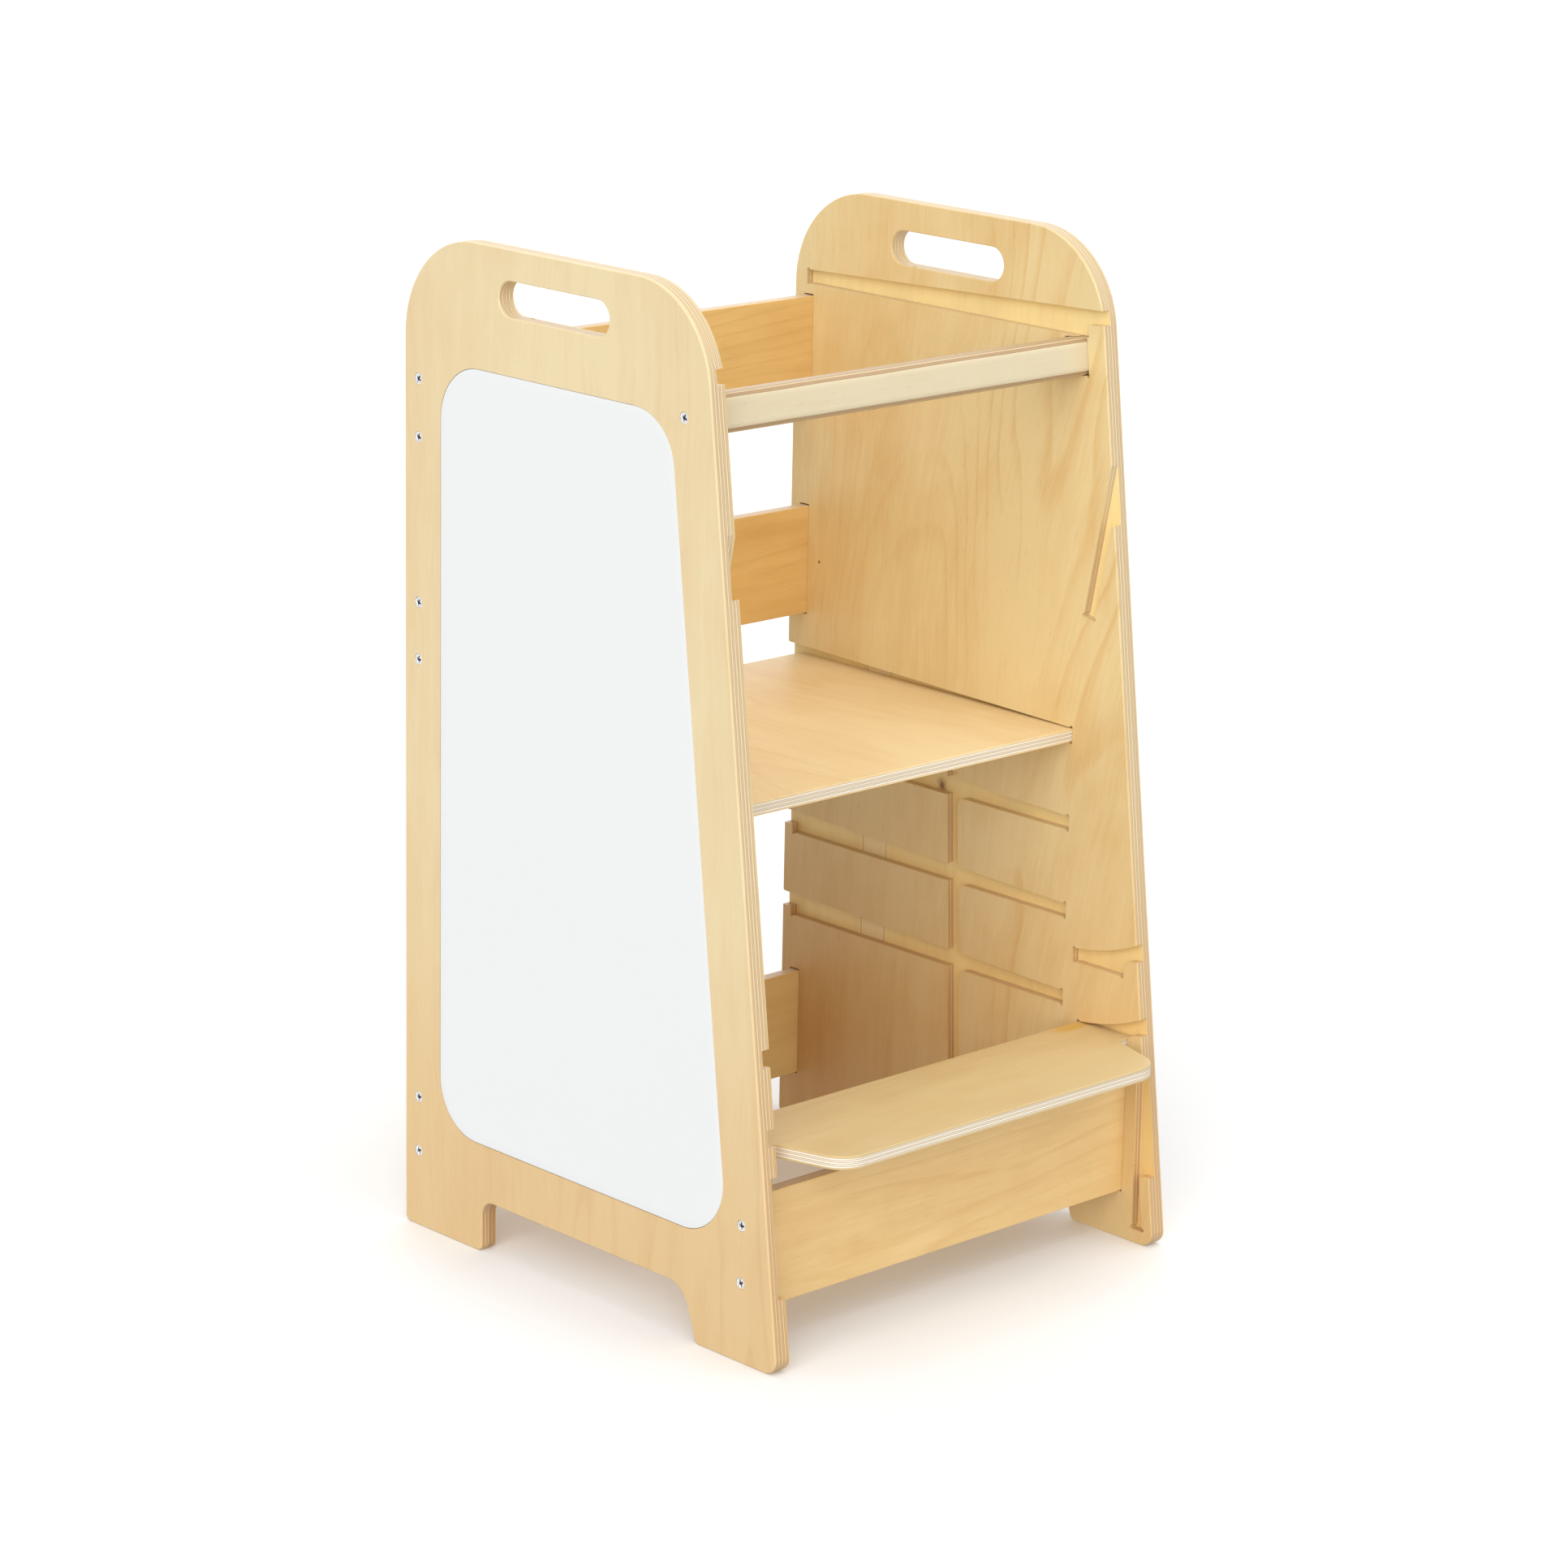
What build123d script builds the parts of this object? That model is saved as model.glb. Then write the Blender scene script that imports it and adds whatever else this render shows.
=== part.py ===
"""Kids easel and standing tower: two routed plywood side panels joined by rails,
with drawing boards let into their outer faces, a standing platform and a step.

Frame: X across the width, Y from the step side (-Y) to the rear edge (+Y), Z up.
The origin is at the bottom centre of the bounding box. A side view is drawn with
two coordinates, the distance forward of the rear edge and the height above the floor.
"""
import os
from math import cos, radians, sin, tan

from build123d import *

# Overall sizes (millimetres, degrees)
overall_width = 478.0
panel_height = 900.0
base_depth = 490.0
front_lean = 7.0
panel_thickness = 17.0
board_thickness = 12.0
pocket_depth = 8.7
edge_round = 1.2
board_edge_round = 0.7

# Side panel outline
top_corner_radius = 90.0
floor_corner_radius = 6.0
front_toe_radius = 13.0
rear_foot_length = 106.5
front_foot_length = 100.6
foot_height = 48.5
front_foot_lean = 19.0
rear_arch_radius = 15.0
front_arch_radius = 26.0

# Handle slot through each panel
handle_length = 141.0
handle_height = 31.0
handle_centre_forward = 195.2
handle_below_top = 42.0

# Drawing boards and their recesses
drawing_board_thickness = 3.0
drawing_board_recess = 3.2
drawing_board_gap = 0.4
drawing_board_rear_margin = 48.0
drawing_board_front_margin = 50.0
drawing_board_bottom = 100.0
drawing_board_below_top = 107.0
drawing_board_radius = 50.0

# Flat rails near the rear edge, and the matching board below the step
rail_height = 102.0
rear_rail_setback = 18.2
bottom_rail_centre = 96.2
middle_rail_centre = 550.2
top_rail_below_top = 152.5
mortise_end_gap = 1.5
mortise_side_gap = 0.3
front_screw_setback = 34.3

# Front top rail, a bar that leans with the front edge
front_rail_height = 34.0
front_rail_thickness = 26.0
front_rail_round = 8.0
front_rail_below_top = 108.2

# Platform and the grooves that it drops into
groove_count = 4
lowest_groove_height = 200.8
groove_pitch = 81.5
groove_front_inset = 120.5
groove_roof_gap = 1.0
groove_rise_angle = 1.38
rear_stop_length = 10.8
rear_stop_height = 7.8
mouth_corner_radius = 3.0
platform_lift_gap = 0.3
platform_end_gap = 0.5
board_side_gap = 0.8

# Upright groove that crosses the lower platform grooves
upright_groove_gap = 2.0
upright_groove_tilt = 2.6
upright_groove_centre_forward = 228.8
upright_groove_centre_height = 224.0
upright_groove_length = 328.0
upright_corner_radius = 8.0

# Step and its slots
step_seat_height = 176.9
step_slot_pitch = 67.0
step_slot_depth = 80.7
step_slot_roof_gap = 0.8
step_slot_entry_angle = 4.3
step_slot_arc_radius = 225.0
step_slot_arc_turn = 22.0
step_stop_length = 18.0
step_stop_above_board = 2.8
step_stop_radius = 8.0
step_stop_rise = 2.6
step_lift_gap = 0.3
step_rear_gap = 1.0
step_stop_gap = 0.6
step_depth = 128.3
step_shoulder_inset = 11.5
step_front_inset = 32.0
step_front_radius = 28.0
step_shoulder_radius = 6.0

# Long groove below the handle, for a board laid across the top
top_groove_below_top = 90.7
top_groove_gap = 0.9
top_groove_rise = 1.95
top_groove_rear_end = 15.0
top_groove_step = 11.2
top_groove_step_rise = 3.6

# Leaning slot at mid height and upright slot in the front foot
lean_slot_gap = 0.8
lean_slot_angle = 10.6
lean_slot_bottom = 560.5
lean_slot_setback = 37.2
lean_slot_sill = 88.0
lean_slot_sill_radius = 5.0
foot_slot_gap = 0.7
foot_slot_bottom = 12.3
foot_slot_setback = 17.8
foot_slot_sill = 52.0
foot_slot_top = 168.0
foot_slot_sill_radius = 3.0

# Routing details
relief_radius = 1.8
marking_hole_radius = 1.7
marking_hole_depth = 4.0
marking_hole_forward = 39.5
past_edge = 30.0

# Cross-head screws
screw_length = 50.0
screw_head_radius = 5.0
screw_head_rim = 0.4
screw_head_height = 3.0
screw_neck_radius = 3.4
screw_neck_length = 11.0
screw_neck_taper = 1.0
screw_core_radius = 2.5
screw_point_length = 5.0
screw_point_radius = 0.3
screw_sink = 0.25
screw_clearance = 0.06
recess_span = 5.6
recess_width = 1.2
recess_depth = 2.2
screw_pair_spacing = 51.0

# Places worked out from the sizes above
panel_outer_x = overall_width / 2
panel_inner_x = panel_outer_x - panel_thickness
pocket_floor_x = panel_inner_x + pocket_depth
groove_front = base_depth - groove_front_inset
front_slope = tan(radians(front_lean))
highest_groove_height = lowest_groove_height + (groove_count - 1) * groove_pitch
groove_front_opening = board_thickness + groove_roof_gap
upright_groove_width = board_thickness + upright_groove_gap
step_slot_opening = board_thickness + step_slot_roof_gap
step_stop_height = board_thickness + step_stop_above_board
top_groove_opening = board_thickness + top_groove_gap
lean_slot_width = board_thickness + lean_slot_gap
foot_slot_width = board_thickness + foot_slot_gap


def front_edge(height):
    """Distance of the leaning front edge from the rear edge, at one height."""
    return base_depth - height * front_slope


step_rear = front_edge(step_seat_height) - step_slot_depth + step_rear_gap
step_front = step_rear + step_depth
overall_depth = max(step_front, base_depth)
rear_edge_y = overall_depth / 2
front_rail_centre = panel_height - front_rail_below_top
top_rail_centre = panel_height - top_rail_below_top


def side_plane(x):
    """Plane of a side view: its X runs forward from the rear edge, its Y runs up."""
    return Plane(origin=(x, rear_edge_y, 0), x_dir=(0, -1, 0), z_dir=(-1, 0, 0))


def slab(profile, x_low, x_high):
    """Side-view profile as a solid between two places across the width."""
    return extrude(side_plane(x_high) * profile, amount=x_high - x_low)


def outline(corners):
    """Closed face through corners of (forward, height, corner radius)."""
    points = [(forward, height) for forward, height, _ in corners]
    radii = [radius for _, _, radius in corners]
    return make_face(FilletPolyline(*points, radius=radii, close=True))


def polygon(*points):
    """Closed face with sharp corners."""
    return make_face(Polyline(*points, close=True))


def relief(forward, height):
    """Round relief that the router leaves at an inside corner."""
    return Pos(forward, height) * Circle(relief_radius)


def turned_rectangle(centre, width, height, angle):
    """Rectangle about a centre, its top leaning back toward the rear edge by an angle."""
    return Pos(*centre) * Rot(0, 0, angle) * Rectangle(width, height)


def panel_outline():
    """Side panel outline: upright rear edge, leaning front edge, round top, two feet."""
    foot_run = foot_height * tan(radians(front_foot_lean))
    heel = base_depth - front_foot_length
    return outline([
        (0, 0, floor_corner_radius),
        (rear_foot_length, 0, floor_corner_radius),
        (rear_foot_length, foot_height, rear_arch_radius),
        (heel - foot_run, foot_height, front_arch_radius),
        (heel, 0, floor_corner_radius),
        (base_depth, 0, front_toe_radius),
        (front_edge(panel_height), panel_height, top_corner_radius),
        (0, panel_height, top_corner_radius),
    ])


def handle_slot():
    """Round-ended hand hole."""
    centre = Pos(handle_centre_forward, panel_height - handle_below_top)
    return centre * SlotOverall(handle_length, handle_height)


def drawing_board_outline(gap):
    """Board outline, set in by a gap from the recess that holds it."""
    rear = drawing_board_rear_margin + gap
    bottom = drawing_board_bottom + gap
    top = panel_height - drawing_board_below_top - gap
    margin = drawing_board_front_margin / cos(radians(front_lean)) + gap
    radius = drawing_board_radius - gap
    return outline([
        (rear, bottom, radius),
        (front_edge(bottom) - margin, bottom, radius),
        (front_edge(top) - margin, top, radius),
        (rear, top, radius),
    ])


def rail_section(centre_forward, centre_height, gap_side, gap_end):
    """Upright rectangle of a flat rail, grown by gaps where it is a mortise."""
    size = Rectangle(board_thickness + 2 * gap_side, rail_height + 2 * gap_end)
    return Pos(centre_forward, centre_height) * size


def front_board_forward():
    """Distance of the front bottom board's middle from the rear edge."""
    return front_edge(bottom_rail_centre) - front_screw_setback


def flat_rail_places():
    """Middle of each flat rail in the side view."""
    return {
        "top_rear_rail": (rear_rail_setback, top_rail_centre),
        "middle_rear_rail": (rear_rail_setback, middle_rail_centre),
        "bottom_rear_rail": (rear_rail_setback, bottom_rail_centre),
        "front_bottom_board": (front_board_forward(), bottom_rail_centre),
    }


def front_rail_place():
    """Middle of the front top rail in the side view."""
    return (front_edge(front_rail_centre) - front_screw_setback, front_rail_centre)


def front_rail_section(gap):
    """Leaning rectangle of the front top rail, grown by a gap where it is a mortise."""
    width = front_rail_thickness + 2 * gap
    height = front_rail_height + 2 * gap
    return turned_rectangle(front_rail_place(), width, height, front_lean)


def flat_mortises():
    """Mortises of the flat rails."""
    shapes = Sketch()
    for forward, height in flat_rail_places().values():
        shapes += rail_section(forward, height, mortise_side_gap, mortise_end_gap)
    return shapes


def front_rail_mortise():
    """Mortise of the front top rail, with reliefs at its front corners."""
    shape = front_rail_section(mortise_side_gap)
    forward, height = front_rail_place()
    lean = radians(front_lean)
    for side in (-1, 1):
        across = front_rail_thickness / 2 - relief_radius / 2
        along = side * (front_rail_height / 2 + mortise_side_gap)
        corner_forward = forward + across * cos(lean) - along * sin(lean)
        corner_height = height + across * sin(lean) + along * cos(lean)
        shape += relief(corner_forward, corner_height)
    return shape


def platform_groove(bottom):
    """Groove closed at the front, with a stop at the rear and a top that rises to it."""
    front_top = bottom + groove_front_opening
    mouth_top = front_top + groove_front * tan(radians(groove_rise_angle))
    stop_top = bottom + rear_stop_height
    shape = outline([
        (groove_front, bottom, 0),
        (groove_front, front_top, 0),
        (0, mouth_top, mouth_corner_radius),
        (0, mouth_top + past_edge, 0),
        (-past_edge, mouth_top + past_edge, 0),
        (-past_edge, stop_top, 0),
        (rear_stop_length, stop_top, 0),
        (rear_stop_length, bottom, 0),
    ])
    shape += relief(groove_front - relief_radius, front_top)
    shape += relief(groove_front - relief_radius, bottom)
    shape += relief(rear_stop_length + relief_radius, bottom)
    return shape


def groove_bottoms():
    """Height of each platform groove's ledge, lowest first."""
    return [lowest_groove_height + level * groove_pitch for level in range(groove_count)]


def upright_groove_front(height):
    """Front edge of the upright groove at one height."""
    rise = height - upright_groove_centre_height
    lean = radians(upright_groove_tilt)
    return upright_groove_centre_forward - rise * tan(lean) + upright_groove_width / cos(lean) / 2


def platform_grooves():
    """The platform's grooves and the upright groove, as one routed pattern."""
    centre = (upright_groove_centre_forward, upright_groove_centre_height)
    shapes = turned_rectangle(centre, upright_groove_width, upright_groove_length, upright_groove_tilt)
    for bottom in groove_bottoms():
        shapes += platform_groove(bottom)
    for bottom in groove_bottoms()[:-1]:
        corner = Vector(upright_groove_front(bottom), bottom)
        nearest = shapes.vertices().sort_by_distance(corner)[0]
        shapes = fillet(nearest, upright_corner_radius)
    return shapes


def step_slot(seat):
    """Slot open at the front edge, with a stop there and a curved top that lifts to it."""
    rear = front_edge(seat) - step_slot_depth
    stop_rear = front_edge(seat) - step_stop_length
    stop_top = seat + step_stop_height
    rear_top = seat + step_slot_opening
    entry = radians(step_slot_entry_angle)
    turn = radians(step_slot_arc_turn)
    reach = step_slot_arc_radius * (sin(entry + turn) - sin(entry))
    lift = step_slot_arc_radius * (cos(entry) - cos(entry + turn))
    half_reach = step_slot_arc_radius * (sin(entry + turn / 2) - sin(entry))
    half_lift = step_slot_arc_radius * (cos(entry) - cos(entry + turn / 2))
    roof = ThreePointArc(
        (rear, rear_top),
        (rear + half_reach, rear_top + half_lift),
        (rear + reach, rear_top + lift),
    )
    sill = FilletPolyline(
        (rear + reach, stop_top + step_stop_rise),
        (front_edge(seat), stop_top + step_stop_rise),
        (stop_rear, stop_top),
        (stop_rear, seat),
        (rear, seat),
        radius=[0, step_stop_radius, 0],
    )
    ends = Line(roof @ 1, sill @ 0) + Line(sill @ 1, roof @ 0)
    shape = make_face(roof + sill + ends)
    shape += relief(rear + relief_radius, rear_top)
    shape += relief(rear + relief_radius, seat)
    shape += relief(stop_rear - relief_radius, seat)
    return shape


def top_groove():
    """Long groove below the handle: closed at the rear, open through the front edge."""
    bottom = panel_height - top_groove_below_top
    rear = top_groove_rear_end
    front = front_edge(bottom) + past_edge
    rear_top = bottom + top_groove_opening
    front_top = rear_top + (front - rear) * tan(radians(top_groove_rise))
    forward, _ = front_rail_place()
    post = forward + front_rail_thickness / 2 + mortise_side_gap
    shape = polygon(
        (rear, bottom),
        (post, bottom),
        (post, bottom + top_groove_step),
        (front, bottom + top_groove_step + top_groove_step_rise),
        (front, front_top),
        (rear, rear_top),
    )
    shape += relief(rear + relief_radius, bottom)
    shape += relief(rear + relief_radius, rear_top)
    return shape


def lean_slot():
    """Slot at mid height that leans forward and opens through the front edge."""
    centre_forward = front_edge(lean_slot_bottom) - lean_slot_setback
    lean = radians(lean_slot_angle)
    across = (cos(lean) * lean_slot_width / 2, -sin(lean) * lean_slot_width / 2)
    rear = (centre_forward - across[0], lean_slot_bottom - across[1])
    front = (centre_forward + across[0], lean_slot_bottom + across[1])
    sill = lean_slot_bottom + lean_slot_sill
    sill_forward = front[0] + (sill - front[1]) * tan(lean)
    meet = (base_depth - rear[0] + rear[1] * tan(lean)) / (tan(lean) + front_slope)
    shape = outline([
        (rear[0], rear[1], 0),
        (front[0], front[1], 0),
        (sill_forward, sill, lean_slot_sill_radius),
        (front_edge(sill) + past_edge, sill, 0),
        (front_edge(meet) + past_edge, meet, 0),
        (front_edge(meet), meet, 0),
    ])
    shape += relief(rear[0] + relief_radius * sin(lean), rear[1] + relief_radius * cos(lean))
    shape += relief(front[0] + relief_radius * sin(lean), front[1] + relief_radius * cos(lean))
    return shape


def foot_slot():
    """Upright slot in the front foot, open through the front edge above its sill."""
    centre = front_edge(foot_slot_bottom) - foot_slot_setback
    rear = centre - foot_slot_width / 2
    front = centre + foot_slot_width / 2
    sill = foot_slot_bottom + foot_slot_sill
    sill_forward = front - foot_slot_sill * front_slope
    top_rear = rear - relief_radius
    shape = outline([
        (rear, foot_slot_bottom, 0),
        (front, foot_slot_bottom, 0),
        (sill_forward, sill, foot_slot_sill_radius),
        (front_edge(sill) + past_edge, sill, 0),
        (front_edge(foot_slot_top) + past_edge, foot_slot_top, 0),
        (top_rear, foot_slot_top, 0),
    ])
    shape += relief(rear, foot_slot_bottom + relief_radius)
    shape += relief(front, foot_slot_bottom + relief_radius)
    return shape


def screw_places():
    """Side-view places of the screws that hold each rail at one end."""
    places = {}
    for name, (forward, height) in flat_rail_places().items():
        half = screw_pair_spacing / 2
        places[name] = [(forward, height - half), (forward, height + half)]
    places["front_top_rail"] = [front_rail_place()]
    return places


def screw_form(grow, above):
    """Turned form of a countersunk screw, head at the origin, point toward -Z.

    It is grown all round, and carried on above its head where it is a hole.
    """
    neck_end = -screw_neck_length - grow
    tip = -screw_length - grow
    profile = polygon(
        (0, above),
        (screw_head_radius + grow, above),
        (screw_head_radius + grow, -screw_head_rim),
        (screw_neck_radius + grow, -screw_head_height),
        (screw_neck_radius + grow, neck_end),
        (screw_core_radius + grow, neck_end - screw_neck_taper),
        (screw_core_radius + grow, tip + screw_point_length),
        (screw_point_radius + grow, tip),
        (0, tip),
    )
    return revolve(Plane.XZ * profile, axis=Axis.Z)


def screw():
    """Countersunk screw with a crossed recess in its head."""
    bar = Box(recess_span, recess_width, 2 * recess_depth)
    return screw_form(0, 0) - bar - Rot(0, 0, 90) * bar


def screw_hole():
    """Space for one screw, open above its head."""
    return screw_form(screw_clearance, past_edge)


def at_screw(place):
    """Location of a screw head in the right panel's outer face, point toward -X."""
    forward, height = place
    head_x = panel_outer_x - screw_sink
    return Pos(head_x, rear_edge_y - forward, height) * Rot(0, 90, 0)


def screw_holes(name):
    """Holes of one rail's right-hand end."""
    hole = screw_hole()
    return [at_screw(place) * hole for place in screw_places()[name]]


def both_ends(shapes):
    """The right-hand shapes with their mirror images."""
    return shapes + [mirror(shape, about=Plane.YZ) for shape in shapes]


def side_panel():
    """Right side panel with its pockets, recess, handle slot and screw holes."""
    panel = slab(panel_outline() - handle_slot(), panel_inner_x, panel_outer_x)
    faces = panel.faces().filter_by(Axis.X)
    panel = fillet(faces.edges(), edge_round)
    recess_x = panel_outer_x - drawing_board_recess
    panel -= slab(drawing_board_outline(0), recess_x, panel_outer_x + past_edge)
    pockets = flat_mortises() + front_rail_mortise() + top_groove() + lean_slot() + foot_slot()
    pockets += platform_grooves()
    pockets += step_slot(step_seat_height) + step_slot(step_seat_height + step_slot_pitch)
    panel -= slab(pockets, panel_inner_x - past_edge, pocket_floor_x)
    marking = Pos(marking_hole_forward, middle_rail_centre) * Circle(marking_hole_radius)
    panel -= slab(marking, panel_inner_x - past_edge, panel_inner_x + marking_hole_depth)
    for name in screw_places():
        for hole in screw_holes(name):
            panel -= hole
    return panel


def drawing_board():
    """Thin board in the right panel's recess."""
    back = panel_outer_x - drawing_board_recess
    return slab(drawing_board_outline(drawing_board_gap), back, back + drawing_board_thickness)


def flat_rail(name):
    """Flat rail from pocket floor to pocket floor, with its screw holes."""
    forward, height = flat_rail_places()[name]
    section = rail_section(forward, height, 0, 0)
    rail = slab(section, -pocket_floor_x, pocket_floor_x)
    rail = fillet(rail.edges().filter_by(Axis.X), board_edge_round)
    for hole in both_ends(screw_holes(name)):
        rail -= hole
    return rail


def front_top_rail():
    """Front top rail with well rounded long edges."""
    rail = slab(front_rail_section(0), -pocket_floor_x, pocket_floor_x)
    rail = fillet(rail.edges().filter_by(Axis.X), front_rail_round)
    for hole in both_ends(screw_holes("front_top_rail")):
        rail -= hole
    return rail


def board_between(half_width, rear, front, bottom):
    """Flat horizontal board with eased edges."""
    size = (2 * half_width, front - rear, board_thickness)
    middle = (0, rear_edge_y - (rear + front) / 2, bottom + board_thickness / 2)
    return fillet((Pos(*middle) * Box(*size)).edges(), board_edge_round)


def platform():
    """Standing board in the highest pair of grooves."""
    half_width = pocket_floor_x - board_side_gap
    rear = rear_stop_length + platform_end_gap
    front = groove_front - platform_end_gap
    return board_between(half_width, rear, front, highest_groove_height + platform_lift_gap)


def step():
    """Foot board: a tongue in the slots, then shoulders and sides that taper forward."""
    tongue = pocket_floor_x - board_side_gap
    shoulder = front_edge(step_seat_height) - step_stop_length - step_stop_gap
    neck = panel_inner_x - step_shoulder_inset
    nose = panel_inner_x - step_front_inset
    half = [
        (tongue, step_rear, 0),
        (tongue, shoulder, 0),
        (neck, shoulder, step_shoulder_radius),
        (nose, step_front, step_front_radius),
    ]
    other_half = [(-across, forward, radius) for across, forward, radius in reversed(half)]
    bottom = step_seat_height + step_lift_gap
    plane = Plane(origin=(0, rear_edge_y, bottom), x_dir=(1, 0, 0), z_dir=(0, 0, 1))
    corners = [(across, -forward, radius) for across, forward, radius in half + other_half]
    board = extrude(plane * outline(corners), amount=board_thickness)
    return fillet(board.edges().filter_by(Axis.Z, reverse=True), board_edge_round)


def screw_group(name):
    """Screws through the right panel into one rail."""
    return [at_screw(place) * screw() for place in screw_places()[name]]


def save(name, shape):
    """Write one named piece."""
    export_step(shape, os.path.join("parts", name + ".step"))


def main():
    os.makedirs("parts", exist_ok=True)
    right_panel = side_panel()
    save("right_side_panel", right_panel)
    save("left_side_panel", mirror(right_panel, about=Plane.YZ))
    save("chalkboard", drawing_board())
    save("whiteboard", mirror(drawing_board(), about=Plane.YZ))
    for name in flat_rail_places():
        save(name, flat_rail(name))
    save("front_top_rail", front_top_rail())
    save("platform", platform())
    save("step", step())
    for name in screw_places():
        screws = screw_group(name)
        save(name + "_screws_right", Compound(screws))
        save(name + "_screws_left", Compound([mirror(each, about=Plane.YZ) for each in screws]))


if __name__ == "__main__":
    main()
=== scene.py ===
"""Kids easel and standing tower: wood finishes, drawing sheets, screws and a pale studio."""

from math import cos, pi, radians, sin, tan

import bmesh
import bpy
import numpy as np
from bpy.props import FloatProperty, FloatVectorProperty, IntProperty, PointerProperty
from bpy.types import Operator, Panel, PropertyGroup
from mathutils import Matrix, Vector


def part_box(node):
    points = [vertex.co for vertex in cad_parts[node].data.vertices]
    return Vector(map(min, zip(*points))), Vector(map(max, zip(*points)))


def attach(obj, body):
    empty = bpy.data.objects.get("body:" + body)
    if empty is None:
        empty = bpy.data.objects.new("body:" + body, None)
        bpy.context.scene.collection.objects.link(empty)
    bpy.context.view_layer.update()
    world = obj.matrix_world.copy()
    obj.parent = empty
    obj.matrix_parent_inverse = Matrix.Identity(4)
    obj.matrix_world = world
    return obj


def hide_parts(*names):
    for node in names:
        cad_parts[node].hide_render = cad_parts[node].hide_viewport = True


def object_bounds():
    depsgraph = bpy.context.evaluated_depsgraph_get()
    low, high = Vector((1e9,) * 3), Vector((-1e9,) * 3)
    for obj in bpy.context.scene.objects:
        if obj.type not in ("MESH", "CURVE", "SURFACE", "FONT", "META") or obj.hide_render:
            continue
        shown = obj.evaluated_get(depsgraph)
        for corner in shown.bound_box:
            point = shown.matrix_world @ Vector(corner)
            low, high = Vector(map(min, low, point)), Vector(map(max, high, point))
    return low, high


bl_info = {
    "name": "Kids easel tower",
    "version": (1, 0, 0),
    "blender": (4, 5, 0),
    "location": "3D View > Sidebar > Easel",
    "description": "Finishes, drawing sheets, screws and studio for a kids easel tower",
    "category": "Object",
}

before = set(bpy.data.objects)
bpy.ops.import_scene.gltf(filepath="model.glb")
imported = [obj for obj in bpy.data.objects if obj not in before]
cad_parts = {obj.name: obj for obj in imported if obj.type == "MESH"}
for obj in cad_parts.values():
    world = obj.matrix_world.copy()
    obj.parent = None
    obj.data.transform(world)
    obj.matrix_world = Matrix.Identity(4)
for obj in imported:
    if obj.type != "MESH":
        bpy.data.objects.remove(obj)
CAD_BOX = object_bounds()

MM = 0.001
PANELS = ("left_side_panel", "right_side_panel")
REAR_RAILS = ("top_rear_rail", "middle_rear_rail", "bottom_rear_rail")
SCREWED_PIECES = REAR_RAILS + ("front_bottom_board", "front_top_rail")
SIDES = {"left": -1, "right": 1}
BODY = "tower_frame"

# Landmarks of the panels' wood
STRIP_JOINTS = (129 * MM, 159.5 * MM)  # along Y, beside the paler strip on the pocket floors
STRIP_TOP = 500 * MM  # height where the strip ends
FOOT_FADE = (460 * MM, 60 * MM)  # heights between which the panels are tinted darker and browner towards the bottom
REAR_SHADE_FADE = (-80 * MM, 200 * MM)  # along Y, where painted shade darkens the inside further towards the rear
LINES_FADE = (120 * MM, 300 * MM)  # from the rear edge, where the growth lines grow strong
KNOT_PLACE = (368 * MM, 57.8 * MM)  # height, and place along Y
KNOT_RADIUS = 3.6 * MM

# The resin stain: how far in from the step's right end and rear edge, and its half axes
STAIN_INSET = (24 * MM, 8 * MM)
STAIN_REACH = (24 * MM, 9 * MM)

# Where each piece's wood pattern starts in the noise, so that no two pieces match
SEEDS = {
    "left_side_panel": 14.5,
    "right_side_panel": 27.5,
    "platform": 52.0,
    "step": 44.0,
    "top_rear_rail": 71.0,
    "middle_rear_rail": 75.3,
    "bottom_rear_rail": 79.6,
    "front_bottom_board": 83.9,
    "front_top_rail": 95.0,
}

# Where each soft light shines from, and what the camera looks at
LIGHT_PLACES = {
    "key": (-3.4, -2.1, 1.5),
    "fill": (1.2, -4.0, 1.2),
    "back": (3.0, 3.2, 1.8),
    "top": (0.2, -0.6, 4.0),
}
CAMERA_AIM = (0.0331, 0.0470, 0.4135)
CAMERA_SHIFT = (-0.0069, -0.0053)


# Sizes and colours that a user would change

def colour(name, description, default):
    """Colour property."""
    return FloatVectorProperty(
        name=name, description=description, subtype="COLOR", size=3, min=0, max=1, default=default)


def share(name, description, default):
    """Property from 0 to 1."""
    return FloatProperty(
        name=name, description=description, subtype="FACTOR", min=0, max=1, default=default)


def brightness(name, description, default):
    """Strength of a light, never below 0."""
    return FloatProperty(name=name, description=description, min=0, default=default)


def length(name, description, default):
    """Length property, in metres."""
    return FloatProperty(
        name=name, description=description, unit="LENGTH", min=0, precision=5, default=default)


def angle(name, description, default):
    """Angle property, given in degrees and kept in radians."""
    return FloatProperty(name=name, description=description, subtype="ANGLE", default=radians(default))


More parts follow.
